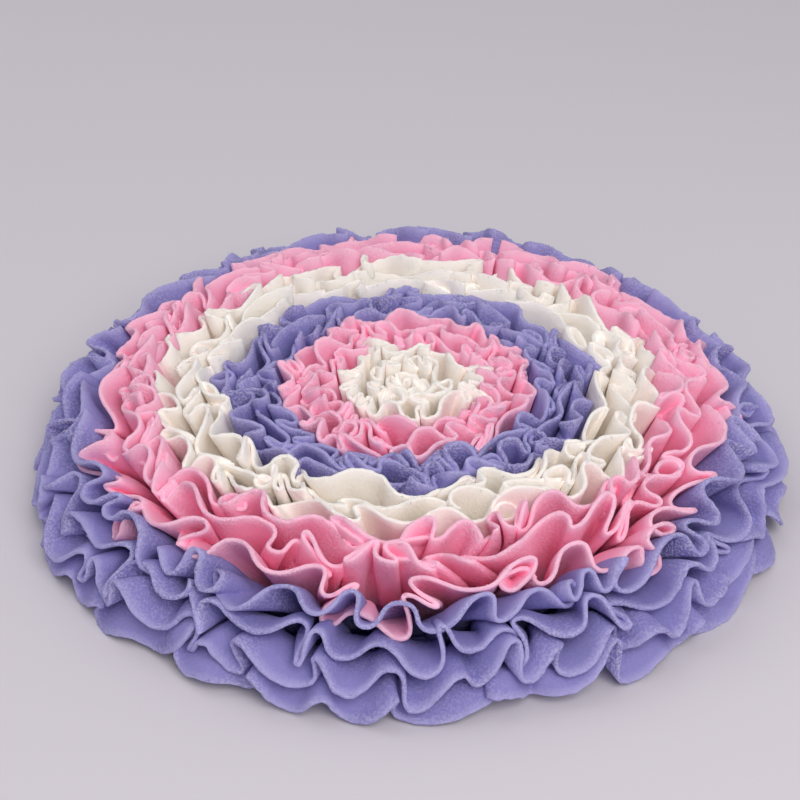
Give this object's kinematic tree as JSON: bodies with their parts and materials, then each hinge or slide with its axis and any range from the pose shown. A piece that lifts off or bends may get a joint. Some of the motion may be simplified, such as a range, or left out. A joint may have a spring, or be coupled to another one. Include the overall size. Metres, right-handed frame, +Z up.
{
  "type": "snuffle mat",
  "caption": "Round snuffle mat for pets: rings of gathered fleece strips in cream, pink and lilac, sewn upright on a flat round backing, with pockets between the ruffles.",
  "frame": {"origin": "centre of the backing's flat underside, on the surface the mat lies on", "axes": "+Z up, square to the mat; +X and +Y lie in the underside, and the mat is round"},
  "size_m": [0.4857, 0.4859, 0.0705],
  "materials": {
    "cream_fleece": "napped polyester fleece",
    "pink_fleece": "napped polyester fleece",
    "lilac_fleece": "napped polyester fleece",
    "backing_felt": "felted fleece"
  },
  "bodies": {
    "root": {"backing": "backing_felt", "cream_core": "cream_fleece", "cream_middle": "cream_fleece", "cream_collar": "cream_fleece", "pink_inner_1": "pink_fleece", "pink_inner_2": "pink_fleece", "pink_inner_3": "pink_fleece", "lilac_inner_1": "lilac_fleece", "lilac_inner_2": "lilac_fleece", "lilac_inner_3": "lilac_fleece", "cream_outer_1": "cream_fleece", "cream_outer_2": "cream_fleece", "cream_outer_3": "cream_fleece", "pink_outer_1": "pink_fleece", "pink_outer_2": "pink_fleece", "pink_outer_3": "pink_fleece", "lilac_outer_1": "lilac_fleece", "lilac_outer_2": "lilac_fleece", "lilac_outer_3": "lilac_fleece", "lilac_outer_4": "lilac_fleece"}
  },
  "joints": []
}
